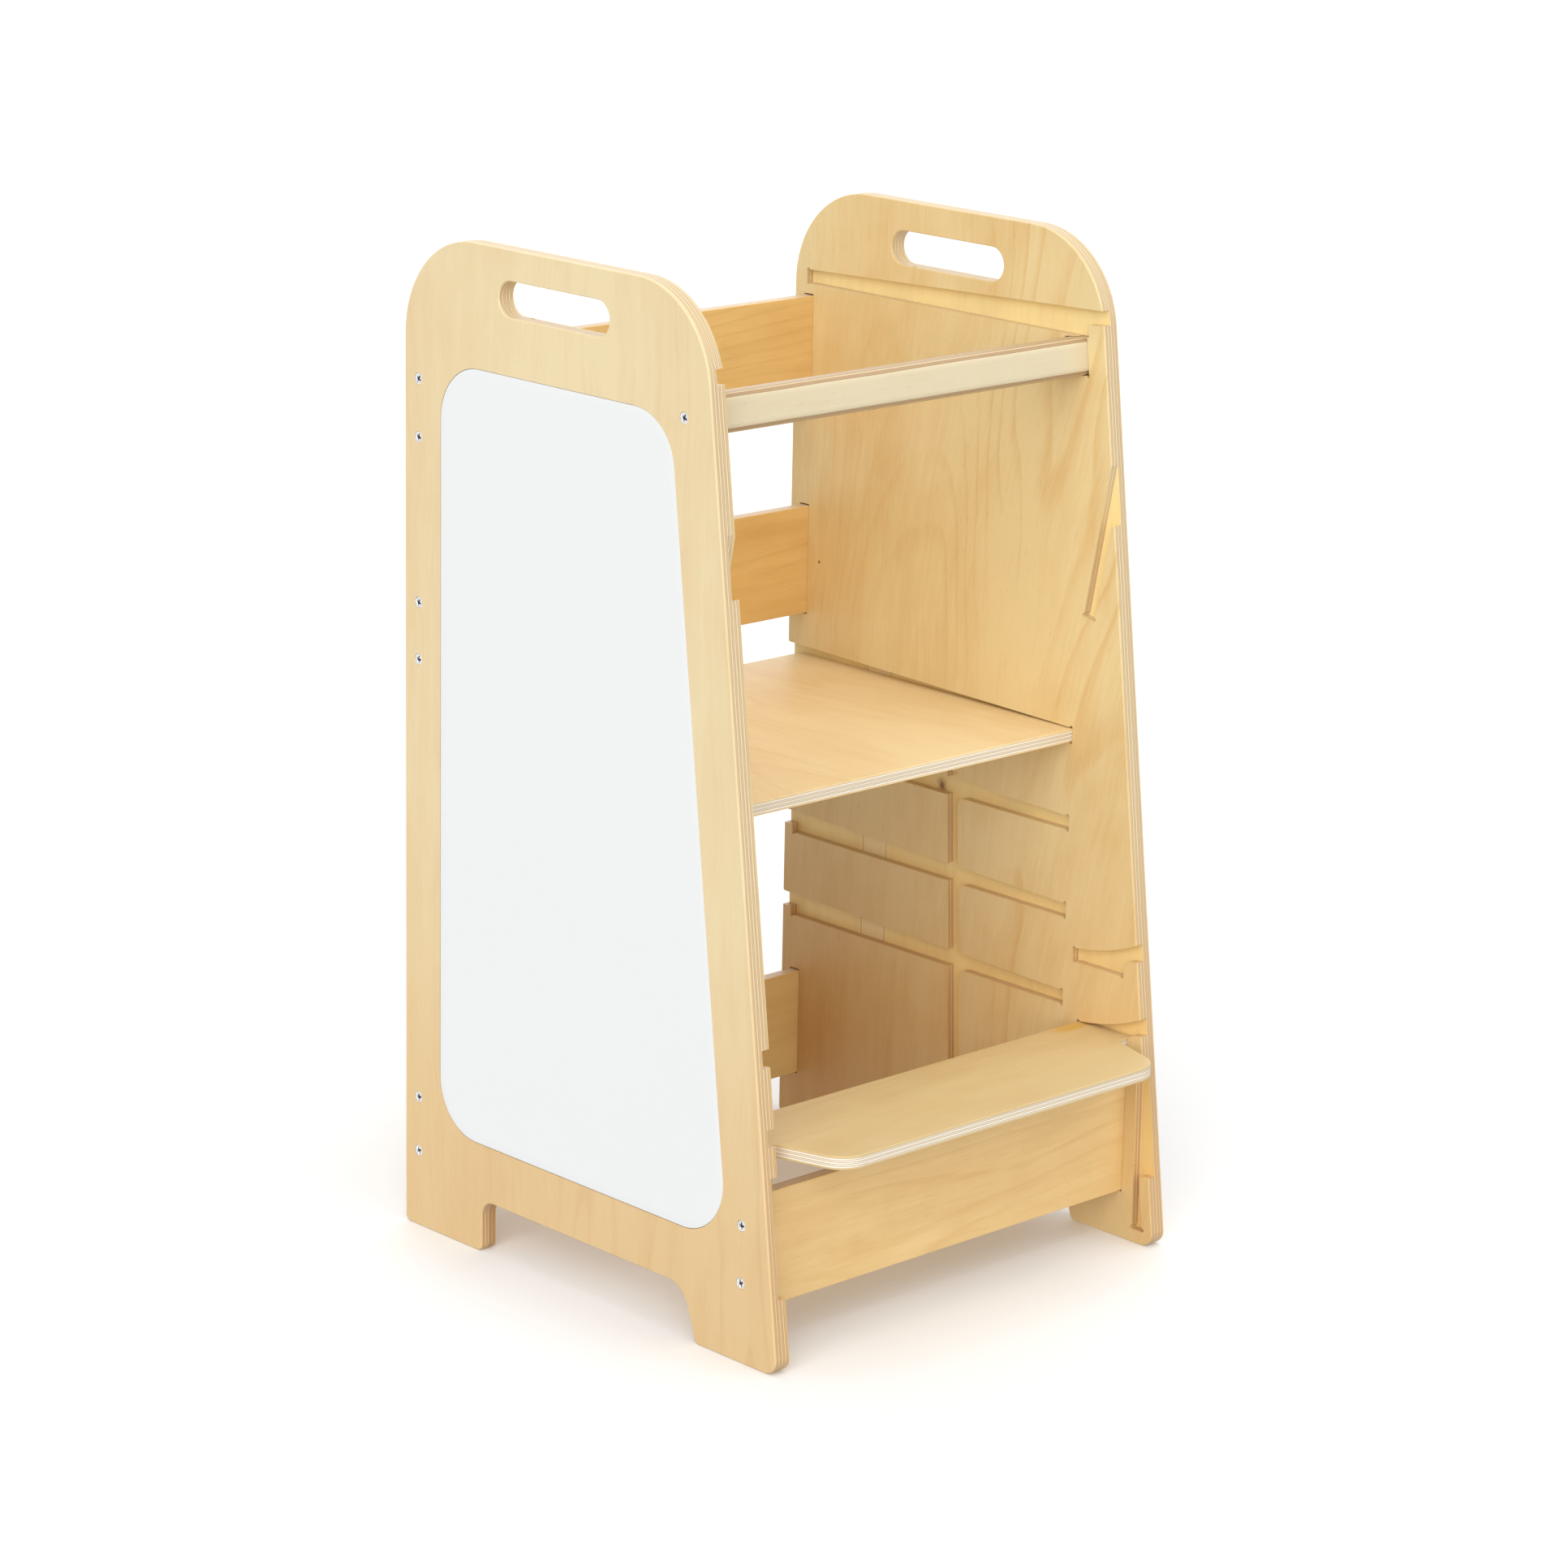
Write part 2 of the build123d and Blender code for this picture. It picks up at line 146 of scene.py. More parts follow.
class PanelWood(PropertyGroup):
    """Plywood of the two side panels."""
    plies: IntProperty(name="Plies", description="Veneers in a side panel", min=3, default=9)
    pale: colour("Pale wood", "Wood between the growth lines", (0.80, 0.64, 0.34))
    grain: colour("Grain", "Wood in the growth lines", (0.68, 0.43, 0.155))
    outer: colour("Outer face", "Paler wood of the outer faces", (0.95, 0.81, 0.56))
    # Tint that makes the panels darker and browner towards the bottom
    foot: colour("Foot wood", "Tint of the browner wood towards the feet", (0.92, 0.79, 0.66))
    # Painted shade: darkens the inner faces low at the rear, where the platform and step shade them
    rear_shade: colour("Rear foot wood", "Tint of the brown wood inside, low at the rear", (0.80, 0.68, 0.58))
    contrast: share("Contrast", "How strongly the growth lines show", 0.38)
    fan: FloatProperty(
        name="Fan", description="How far the grain leans forward as it climbs, per metre", default=0.42)
    long_ply: colour("Long ply", "Inner veneer cut along its grain", (0.90, 0.76, 0.50))
    cross_ply: colour("Cross ply", "Inner veneer cut across its grain", (0.66, 0.46, 0.24))
    # Partly the bare ply's own colour, partly painted light that lifts the shade in the pockets
    floor_ply_and_painted_light: colour("Pocket floor", "Inner veneer laid bare at the bottom of a pocket", (0.94, 0.76, 0.36))
    knot: colour("Knot", "Heart of the knot", (0.23, 0.10, 0.045))


class BoardWood(PropertyGroup):
    """Plywood of the platform and the step."""
    plies: IntProperty(name="Plies", description="Veneers in a flat board", min=3, default=7)
    pale: colour("Pale wood", "Wood between the growth lines", (0.90, 0.71, 0.41))
    grain: colour("Grain", "Wood in the growth lines", (0.79, 0.56, 0.27))
    contrast: share("Contrast", "How strongly the growth lines show", 0.28)
    long_ply: colour("Long ply", "Inner veneer cut along its grain", (0.99, 0.95, 0.84))
    cross_ply: colour("Cross ply", "Inner veneer cut across its grain", (0.80, 0.67, 0.47))
    step_tint: colour("Step tint", "Tint of the darker face veneer of the step", (0.80, 0.77, 0.68))
    resin: colour("Resin", "Stain at one corner of the step", (0.72, 0.42, 0.07))


class RailWood(PropertyGroup):
    """Plywood of the rear rails and the board below the step."""
    plies: IntProperty(name="Plies", description="Veneers in a flat rail", min=3, default=7)
    pale: colour("Pale wood", "Wood between the growth lines", (0.91, 0.64, 0.29))
    grain: colour("Grain", "Wood in the growth lines", (0.74, 0.46, 0.17))
    # Painted shade: the rear rails sit inside the tower, so they are coloured darker
    rear_rail_shade: colour("Rear tint", "Tint of the browner rear rails", (0.90, 0.86, 0.74))
    contrast: share("Contrast", "How strongly the growth lines show", 0.26)
    long_ply: colour("Long ply", "Inner veneer cut along its grain", (0.90, 0.76, 0.56))
    cross_ply: colour("Cross ply", "Inner veneer cut across its grain", (0.70, 0.50, 0.32))


class BarWood(PropertyGroup):
    """Plywood of the rounded bar across the front."""
    plies: IntProperty(name="Plies", description="Veneers in the bar", min=3, default=15)
    pale: colour("Pale wood", "Wood between the growth lines", (0.76, 0.65, 0.44))
    grain: colour("Grain", "Wood in the growth lines", (0.68, 0.54, 0.33))
    contrast: share("Contrast", "How strongly the growth lines show", 0.25)
    long_ply: colour("Long ply", "Inner veneer cut along its grain", (0.74, 0.58, 0.36))
    cross_ply: colour("Cross ply", "Inner veneer cut across its grain", (0.48, 0.32, 0.17))
    lean: angle("Lean", "Backward lean of the bar and of the front edges", 7.0)


class PlyCore(PropertyGroup):
    """Glue lines on cut edges, and the lacquer over everything."""
    glue: colour("Glue line", "Thin line between two veneers", (0.34, 0.19, 0.08))
    glue_line: length("Glue line", "Thickness of a glue line", 0.0003)
    coat: share("Lacquer", "Weight of the clear lacquer", 0.12)
    coat_roughness: share("Lacquer roughness", "Roughness of the clear lacquer", 0.35)


class SheetFinish(PropertyGroup):
    """The white sheet and the chalk sheet."""
    white: colour("White face", "Melamine face of the white sheet", (0.87, 0.88, 0.88))
    grime: colour("Grime", "Faint grey clouds on the white sheet", (0.74, 0.76, 0.77))
    chalk: colour("Chalk face", "Painted face of the chalk sheet", (0.028, 0.034, 0.032))
    dust: colour("Chalk dust", "Wiped chalk on the chalk sheet", (0.20, 0.21, 0.21))
    core: colour("Core", "Fibreboard seen at the sheet's edge", (0.22, 0.13, 0.07))
    skin: length("Face skin", "Thickness of the coloured face", 0.0005)
    edge_round: length("Edge rounding", "Radius of the sheet's front edge", 0.0004)
    corner_radius: length("Corner radius", "Radius of the sheet's corners", 0.0496)


class ScrewFinish(PropertyGroup):
    """Countersunk cross-head screws."""
    steel: colour("Steel", "Bright zinc on steel", (0.84, 0.85, 0.86))
    dull_steel: colour("Dull steel", "Duller patches of the zinc", (0.56, 0.57, 0.60))
    head_height: length("Head height", "Height of the countersunk cone", 0.003)
    rim: length("Rim", "Height of the head's rim", 0.0004)
    neck_radius: length("Neck radius", "Radius of the plain neck", 0.0034)
    neck_end: length("Neck end", "Distance from the head's face to the end of the neck", 0.011)
    crest_radius: length("Crest radius", "Outer radius of the thread", 0.00248)
    root_radius: length("Root radius", "Inner radius of the thread", 0.0018)
    thread_pitch: length("Thread pitch", "Distance between two turns of the thread", 0.0024)
    arm_length: length("Recess length", "Length of one arm of the cross", 0.0034)
    arm_width: length("Recess width", "Half width of one arm of the cross", 0.00075)
    recess_depth: length("Recess depth", "Depth of the cross at its middle", 0.0027)
    # Dirt and painted shade inside the cross
    recess_dirt_and_shade: colour("Recess", "Darker steel inside the cross", (0.10, 0.10, 0.105))


class StudioLook(PropertyGroup):
    """Floor, light and camera."""
    floor: colour("Floor", "Pale floor", (0.95, 0.95, 0.95))
    mottle: colour("Floor mottle", "Faint grey in the floor", (0.88, 0.88, 0.88))
    world: brightness("Ambient light", "Strength of the light from all round", 0.5)
    key: brightness("Key light", "Strength of the soft light from the front left", 2.1)
    fill: brightness("Fill light", "Strength of the soft light from the front", 0.6)
    back: brightness("Back light", "Strength of the soft light from behind", 0.9)
    top: brightness("Top light", "Strength of the soft light from above", 1.05)
    width: angle("Light width", "How wide the soft lights look in the sky", 60.0)
    azimuth: angle("Azimuth", "Direction that the camera looks from", -43.596)
    elevation: angle("Elevation", "Height of the camera above the horizon", 15.36)
    roll: angle("Roll", "Turn of the camera about its line of sight", 1.207)
    distance: length("Distance", "Camera to the point that it looks at", 4.2602)
    lens: FloatProperty(name="Lens", description="Focal length in millimetres", min=1, default=110.18)


SETTINGS = {
    "easel_panel_wood": PanelWood,
    "easel_board_wood": BoardWood,
    "easel_rail_wood": RailWood,
    "easel_bar_wood": BarWood,
    "easel_core": PlyCore,
    "easel_sheets": SheetFinish,
    "easel_screws": ScrewFinish,
    "easel_studio": StudioLook,
}


# Node materials

class Recipe:
    """One node material, put together a node at a time."""

    def __init__(self, name):
        self.material = bpy.data.materials.new(name)
        self.material.use_nodes = True
        self.nodes = self.material.node_tree.nodes
        self.links = self.material.node_tree.links
        self.nodes.clear()
        self.shader = self.nodes.new("ShaderNodeBsdfPrincipled")
        output = self.nodes.new("ShaderNodeOutputMaterial")
        self.links.new(self.shader.outputs["BSDF"], output.inputs["Surface"])
        self.place = self.nodes.new("ShaderNodeTexCoord")
        self.x, self.y, self.z = self.split(self.place.outputs["Object"])

    def feed(self, socket, value):
        """Links a socket, or sets it to a plain value."""
        if isinstance(value, bpy.types.NodeSocket):
            self.links.new(value, socket)
        elif socket.type == "RGBA":
            socket.default_value = (*value, 1.0)
        else:
            socket.default_value = value

    def set(self, **values):
        """Sets the shader's sockets, with spaces in their names written as underscores."""
        for name, value in values.items():
            self.feed(self.shader.inputs[name.replace("_", " ")], value)

    def split(self, vector):
        """The three parts of a vector."""
        node = self.nodes.new("ShaderNodeSeparateXYZ")
        self.feed(node.inputs[0], vector)
        return node.outputs[0], node.outputs[1], node.outputs[2]

    def math(self, operation, *values):
        """One arithmetic step."""
        node = self.nodes.new("ShaderNodeMath")
        node.operation = operation
        for socket, value in zip(node.inputs, values):
            self.feed(socket, value)
        return node.outputs[0]

    def scale(self, value, factor, offset=0.0):
        """value times factor plus offset."""
        return self.math("MULTIPLY_ADD", value, factor, offset)

    def add(self, *values):
        """Sum of several values."""
        total = values[0]
        for value in values[1:]:
            total = self.math("ADD", total, value)
        return total

    def step(self, value, low, high):
        """0 at low, 1 at high, smooth between; high may be less than low."""
        node = self.nodes.new("ShaderNodeMapRange")
        node.interpolation_type = "SMOOTHSTEP"
        self.feed(node.inputs["Value"], value)
        self.feed(node.inputs["From Min"], low)
        self.feed(node.inputs["From Max"], high)
        return node.outputs["Result"]

    def band(self, value, low, high, soft):
        """1 between low and high, with soft ends outside them."""
        rise = self.step(value, low - soft, low)
        fall = self.step(value, high + soft, high)
        return self.math("MULTIPLY", rise, fall)

    def noise(self, x, y, z, detail=2.0, roughness=0.5):
        """Smooth noise about 0.5 of three coordinates that are already scaled."""
        join = self.nodes.new("ShaderNodeCombineXYZ")
        for socket, value in zip(join.inputs, (x, y, z)):
            self.feed(socket, value)
        node = self.nodes.new("ShaderNodeTexNoise")
        self.feed(node.inputs["Vector"], join.outputs[0])
        self.feed(node.inputs["Scale"], 1.0)
        self.feed(node.inputs["Detail"], detail)
        self.feed(node.inputs["Roughness"], roughness)
        return node.outputs[0]

    def mix(self, factor, first, second):
        """Colour between two colours."""
        node = self.nodes.new("ShaderNodeMix")
        node.data_type = "RGBA"
        colours = [socket for socket in node.inputs if socket.type == "RGBA"]
        self.feed(node.inputs["Factor"], factor)
        self.feed(colours[0], first)
        self.feed(colours[1], second)
        return [socket for socket in node.outputs if socket.type == "RGBA"][0]

    def shade(self, colour_value, factor, amount, tint=(0.35, 0.25, 0.16)):
        """Multiplies a colour by a darker tint where factor is 1, by an amount from 0 to 1."""
        node = self.nodes.new("ShaderNodeMix")
        node.data_type = "RGBA"
        node.blend_type = "MULTIPLY"
        colours = [socket for socket in node.inputs if socket.type == "RGBA"]
        self.feed(node.inputs["Factor"], self.scale(factor, amount))
        self.feed(colours[0], colour_value)
        self.feed(colours[1], tint)
        return [socket for socket in node.outputs if socket.type == "RGBA"][0]

    def bump(self, height, strength, distance):
        """Surface relief from a height between 0 and 1."""
        node = self.nodes.new("ShaderNodeBump")
        self.feed(node.inputs["Height"], height)
        self.feed(node.inputs["Strength"], strength)
        self.feed(node.inputs["Distance"], distance)
        self.feed(self.shader.inputs["Normal"], node.outputs["Normal"])


def growth(recipe, along, across, seed, wander):
    """Fields of one rotary-cut veneer: growth lines, streaks, fibres and drift, each from 0 to 1.

    The growth lines are contours of a smooth noise stretched along the grain, so they nest
    and wander as in a real veneer: each climbs slowly to its dark side and drops at once.
    Streaks and fibres are noise stretched much further, and drift is broad and slow.
    """
    sway = recipe.noise(recipe.scale(along, 3.4), recipe.scale(across, 6.0), seed, 2.0, 0.45)
    side = recipe.add(across, recipe.scale(sway, wander))
    field = recipe.noise(recipe.scale(along, 1.1), recipe.scale(side, 6.5), seed + 3.1, 2.0, 0.35)
    fibres = recipe.noise(recipe.scale(along, 24.0), recipe.scale(side, 1150.0), seed + 5.9, 2.0, 0.6)
    turns = recipe.math("FRACT", recipe.add(recipe.scale(field, 19.0), recipe.scale(fibres, 0.18)))
    climb = recipe.math("POWER", recipe.step(turns, 0.35, 0.92), 3.0)
    lines = recipe.math("MULTIPLY", climb, recipe.step(turns, 1.0, 0.93))
    fade = recipe.noise(recipe.scale(along, 2.2), recipe.scale(side, 8.0), seed + 7.7, 2.0)
    lines = recipe.math("MULTIPLY", lines, recipe.step(fade, 0.34, 0.64))
    streaks = recipe.noise(recipe.scale(along, 2.6), recipe.scale(side, 60.0), seed + 1.3, 6.0, 0.74)
    dashes = recipe.noise(recipe.scale(along, 16.0), recipe.scale(side, 330.0), seed + 6.8, 3.0, 0.7)
    fibres = recipe.add(recipe.scale(fibres, 0.4), recipe.scale(dashes, 0.6))
    drift = recipe.noise(recipe.scale(along, 1.5), recipe.scale(side, 5.5), seed + 9.2, 3.0, 0.55)
    return lines, streaks, fibres, drift


def face_veneer(recipe, wood, along, across, seed, wander, show=1.0):
    """Colour of a face veneer, and the fibre field for its relief; show fades the growth lines."""
    lines, streaks, fibres, drift = growth(recipe, along, across, seed, wander)
    mottle = recipe.noise(recipe.scale(along, 13.0), recipe.scale(across, 32.0), seed + 15.1, 3.0, 0.6)
    tone = recipe.add(
        recipe.scale(recipe.step(drift, 0.3, 0.7), 0.50, -0.02),
        recipe.math("MULTIPLY", recipe.scale(lines, 1.1 * wood.contrast), show),
        recipe.scale(streaks, 0.75, -0.375),
        recipe.scale(fibres, 0.7, -0.35),
        recipe.scale(mottle, 0.9, -0.45),
    )
    face = recipe.mix(tone, wood.pale, wood.grain)
    flecks = recipe.noise(recipe.scale(along, 75.0), recipe.scale(across, 1500.0), seed + 12.4, 1.0)
    face = recipe.shade(face, recipe.step(flecks, 0.70, 0.80), 0.3)
    return face, fibres


def ply_stack(recipe, wood, core, along, across, through, looks, thickness, seed):
    """Colour inside a board by depth: alternate veneers with thin glue lines between.

    through runs from 0 to 1 across the thickness. looks holds how far the surface looks
    along the faces' grain, where their own veneers show end grain, and how far it lies in
    the plane of the veneers, as on a pocket floor. Beside the colour come a field that is
    1 inside the board and 0 in the two face veneers, and the cut's own fine relief.
    """
    end_on, flat = looks
    waver = recipe.noise(recipe.scale(along, 14.0), recipe.scale(across, 14.0), seed + 2.2, 2.0)
    waver = recipe.math("MULTIPLY", recipe.scale(waver, 0.36, -0.18), recipe.scale(flat, -1.0, 1.0))
    place = recipe.add(recipe.scale(through, wood.plies), waver)
    layer = recipe.math("FLOOR", place)
    within = recipe.math("FRACT", place)
    cross = recipe.math("FLOORED_MODULO", layer, 2.0)
    end = recipe.math("ABSOLUTE", recipe.math("SUBTRACT", cross, end_on))
    edge = core.glue_line * wood.plies / thickness
    near = recipe.math("MINIMUM", within, recipe.scale(within, -1.0, 1.0))
    glue = recipe.step(near, edge, 0.3 * edge)
    hair = recipe.noise(
        recipe.scale(along, 90.0), recipe.scale(across, 90.0), recipe.scale(through, 55.0), 3.0, 0.7)
    tint = recipe.noise(recipe.scale(layer, 3.7), seed, recipe.scale(recipe.add(along, across), 1.6), 1.0)
    cut = recipe.mix(recipe.scale(end, 0.85), wood.long_ply, wood.cross_ply)
    cut = recipe.mix(recipe.scale(recipe.step(hair, 0.3, 0.9), 0.5), cut, wood.cross_ply)
    cut = recipe.shade(cut, recipe.step(tint, 0.5, 0.75), 0.2)
    pores = recipe.noise(
        recipe.scale(along, 700.0), recipe.scale(across, 700.0), recipe.scale(through, 260.0), 1.0)
    cut = recipe.shade(cut, recipe.math("MULTIPLY", recipe.step(pores, 0.60, 0.75), end), 0.5)
    # Painted shade: dark specks for small gaps in the cross plies, which have no depth of their own
    void_shade = recipe.noise(recipe.scale(along, 48.0), recipe.scale(across, 48.0), recipe.scale(layer, 5.3), 1.0)
    cut = recipe.shade(cut, recipe.math("MULTIPLY", recipe.step(void_shade, 0.80, 0.82), cross), 1.0)
    cut = recipe.mix(recipe.scale(glue, 0.8), cut, core.glue)
    first = recipe.math("LESS_THAN", layer, 0.5)
    last = recipe.math("GREATER_THAN", layer, wood.plies - 1.5)
    inside = recipe.scale(recipe.add(first, last), -1.0, 1.0)
    return cut, inside, hair


def lacquer(recipe, core, fibres, hair, inside):
    """Satin clear lacquer over wood, with its fine relief."""
    relief = recipe.mix(inside, fibres, hair)
    recipe.bump(relief, 0.22, 0.25 * MM)
    recipe.set(
        Roughness=recipe.scale(fibres, 0.22, 0.37),
        Specular_IOR_Level=0.4,
        Coat_Weight=core.coat,
        Coat_Roughness=core.coat_roughness,
    )


def floor_veneer(recipe, wood, core, along, across, seed):
    """Colour of the veneer at the bottom of a pocket: strips edge to edge, with dark joints. Its base colour
    is the bare ply's own, made paler with painted light against the pocket's shade.
    """
    streaks = recipe.noise(recipe.scale(along, 6.0), recipe.scale(across, 120.0), seed + 4.4, 3.0, 0.6)
    bare = recipe.mix(recipe.scale(recipe.step(streaks, 0.4, 0.8), 0.2), wood.floor_ply_and_painted_light, wood.cross_ply)
    cloud = recipe.noise(recipe.scale(along, 7.0), recipe.scale(across, 11.0), seed + 6.6, 3.0)
    bare = recipe.shade(bare, recipe.step(cloud, 0.46, 0.72), 0.10)
    below = recipe.step(along, STRIP_TOP + 2 * MM, STRIP_TOP)
    patch = recipe.math("MULTIPLY", recipe.band(across, *STRIP_JOINTS, 0.1 * MM), below)
    bare = recipe.mix(recipe.scale(patch, 0.55), bare, wood.long_ply)
    for joint in STRIP_JOINTS:
        line = recipe.band(across, joint - 0.25 * MM, joint + 0.25 * MM, 0.3 * MM)
        line = recipe.math("MULTIPLY", line, below)
        bare = recipe.mix(recipe.scale(line, 0.7), bare, core.glue)
    return bare


def knot_mark(recipe, base, heart, along, across):
    """A knot: a dark heart with a brown ring that fades out, longer along the grain."""
    rise = recipe.scale(along, 0.72, -0.72 * KNOT_PLACE[0])
    side = recipe.scale(across, 1.0, -KNOT_PLACE[1])
    rough = recipe.noise(recipe.scale(along, 260.0), recipe.scale(across, 260.0), 8.8, 2.0)
    reach = recipe.math("SQRT", recipe.add(recipe.math("POWER", rise, 2.0), recipe.math("POWER", side, 2.0)))
    reach = recipe.math("MULTIPLY", reach, recipe.scale(rough, 1.2, 0.4))
    halo = recipe.step(reach, 2.4 * KNOT_RADIUS, 0.8 * KNOT_RADIUS)
    dark = recipe.step(reach, KNOT_RADIUS, 0.35 * KNOT_RADIUS)
    base = recipe.shade(base, halo, 0.5)
    return recipe.mix(recipe.scale(dark, 0.85), base, heart)


def resin_stain(recipe, wood, base, corner):
    """A soft oval stain near a corner: the squares of x and y over its half axes, added up."""
    squares = []
    for place, edge, inset, reach in zip((recipe.x, recipe.y), corner, STAIN_INSET, STAIN_REACH):
        offset = recipe.scale(place, 1 / reach, (inset - edge) / reach)
        squares.append(recipe.math("POWER", offset, 2.0))
    spread = recipe.step(recipe.add(*squares), 1.6, 0.0)
    return recipe.mix(recipe.scale(spread, 0.8), base, wood.resin)


def facing(recipe, grain_axis, face_axis, sharp=(0.7, 0.95)):
    """How far the surface looks along the grain axis, and how far along the face axis."""
    looks = recipe.split(recipe.place.outputs["Normal"])
    end_on = recipe.math("ABSOLUTE", looks[grain_axis])
    flat = recipe.step(recipe.math("ABSOLUTE", looks[face_axis]), *sharp)
    return end_on, flat


def use_material(names, material):
    """Gives CAD nodes a material in each of their slots."""
    for name in names:
        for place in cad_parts[name].material_slots:
            place.material = material


def extent(name):
    """Lowest and highest corner of a CAD node as arrays."""
    low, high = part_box(name)
    return np.array(low), np.array(high)


# Surfaces

def make_piece(name, rings, material, body):
    """Closed skin over a stack of equal rings, shaped (rings, points, 3), with a pole at each end.

    Ring i and ring i + 1 are joined by four-sided faces, and the first and last rings by
    triangles to their own mean point.
    """
    count, points, _ = rings.shape
    poles = np.stack([rings[0].mean(axis=0), rings[-1].mean(axis=0)])
    places = np.concatenate([rings.reshape(-1, 3), poles])
    row, column = np.meshgrid(np.arange(count - 1), np.arange(points), indexing="ij")
    after = (column + 1) % points
    sides = np.stack([
        row * points + column,
        row * points + after,
        (row + 1) * points + after,
        (row + 1) * points + column,
    ], axis=-1).reshape(-1, 4)
    turn = np.arange(points)
    following = (turn + 1) % points
    first = np.stack([np.full(points, count * points), following, turn], axis=-1)
    last_row = (count - 1) * points
    last = np.stack([np.full(points, count * points + 1), last_row + turn, last_row + following], axis=-1)
    mesh = bpy.data.meshes.new(name)
    mesh.from_pydata(places.tolist(), [], sides.tolist() + first.tolist() + last.tolist())
    mesh.materials.append(material)
    mesh.shade_smooth()
    piece = bpy.data.objects.new(name, mesh)
    bpy.context.scene.collection.objects.link(piece)
    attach(piece, body)
    return piece


def outward(piece):
    """Turns every face of a closed piece outwards."""
    shape = bmesh.new()
    shape.from_mesh(piece.data)
    bmesh.ops.recalc_face_normals(shape, faces=shape.faces)
    shape.to_mesh(piece.data)
    shape.free()


def sheet_rings(low, high, side, lean, corner, inset_depth):
    """Rings of a drawing sheet: each is the sheet's outline, set in and lowered.

    The outline is four arcs about fixed centres, so setting it in only shortens their
    radius. Its rear side is upright and its front side leans back by the angle lean.
    """
    rise = (high[2] - low[2] - 2 * corner) / cos(lean)
    front = np.array([low[1] + corner, low[2] + corner])
    front_top = front + rise * np.array([sin(lean), cos(lean)])
    rear = np.array([high[1] - corner, low[2] + corner])
    rear_top = np.array([high[1] - corner, high[2] - corner])
    quarter = pi / 2
    arcs = [
        (rear, -quarter, 0.0),
        (rear_top, 0.0, quarter),
        (front_top, quarter, 2 * quarter - lean),
        (front, 2 * quarter - lean, 3 * quarter),
    ]
    steps = np.linspace(0.0, 1.0, 25)
    centres = np.concatenate([np.tile(centre, (steps.size, 1)) for centre, _, _ in arcs])
    angles = np.concatenate([start + (end - start) * steps for _, start, end in arcs])
    normals = np.stack([np.cos(angles), np.sin(angles)], axis=-1)
    outer = high[0] if side > 0 else low[0]
    rings = []
    for inset, depth in inset_depth:
        flat = centres + (corner - inset) * normals
        across = np.full((flat.shape[0], 1), outer - side * depth)
        rings.append(np.concatenate([across, flat], axis=1))
    return np.array(rings)


def sheet_profile(thickness, rounding):
    """Inset and depth of each ring, from the middle of the back, round the edge, to the face.

    The front edge is a quarter circle of radius rounding.
    """
    turn = np.linspace(0.0, pi / 2, 6)
    inset = rounding * (1 - np.cos(turn))
    depth = rounding * (1 - np.sin(turn))
    back = [(8 * MM, thickness), (0.15 * MM, thickness), (0.0, thickness - 0.15 * MM)]
    return back + list(zip(inset, depth)) + [(8 * MM, 0.0)]


def screw_rings(look, radius, length_value, columns):
    """Rings of one screw about +Z, its head's face at zero height and its point downwards.

    The face is a height field over polar coordinates: an arm of the cross lies every quarter
    turn, its floor rising from the middle to the arm's end. Below the neck the radius swings
    between root and crest with height over pitch less turn, which makes the thread a helix.
    """
    turn = np.linspace(0.0, 2 * pi, columns, endpoint=False)
    fold = (turn + pi / 4) % (pi / 2) - pi / 4
    out = np.concatenate([np.linspace(0.04, 0.72, 20), np.linspace(0.78, 0.985, 6)])[:, None] * radius
    along = out * np.cos(fold)
    beside = np.abs(out * np.sin(fold))
    wall = np.clip((look.arm_width * 1.35 - beside) / (0.7 * look.arm_width), 0.0, 1.0)
    slope = np.clip(1.0 - along / look.arm_length, 0.0, 1.0)
    face_z = -look.recess_depth * np.minimum(wall, 1.0) * np.minimum(1.6 * slope, 0.35 + 0.65 * slope)
    bevel = np.clip((out / radius - 0.93) / 0.055, 0.0, 1.0) ** 2
    face_z = face_z - 0.12 * MM * bevel
    below = np.array([
        (radius, -0.25 * MM),
        (radius, -look.rim),
        (look.neck_radius, -look.head_height),
        (look.neck_radius, -look.neck_end),
    ])
    thread_z = np.linspace(-look.neck_end - 0.9 * MM, -length_value + 0.2 * MM, 92)[:, None]
    phase = (thread_z / look.thread_pitch - turn / (2 * pi)) % 1.0
    crest = np.clip(1.0 - np.abs(phase - 0.5) / 0.28, 0.0, 1.0)
    point = np.clip((thread_z + length_value) / (6 * MM), 0.06, 1.0)
    thread_r = (look.root_radius + (look.crest_radius - look.root_radius) * crest) * point
    radii = np.concatenate([
        np.broadcast_to(out, face_z.shape),
        np.broadcast_to(below[:, :1], (len(below), columns)),
        thread_r,
    ])
    heights = np.concatenate([
        face_z,
        np.broadcast_to(below[:, 1:], (len(below), columns)),
        np.broadcast_to(thread_z, thread_r.shape),
    ])
    return np.stack([radii * np.cos(turn), radii * np.sin(turn), heights], axis=-1)


# Finishes and pieces, one operator each

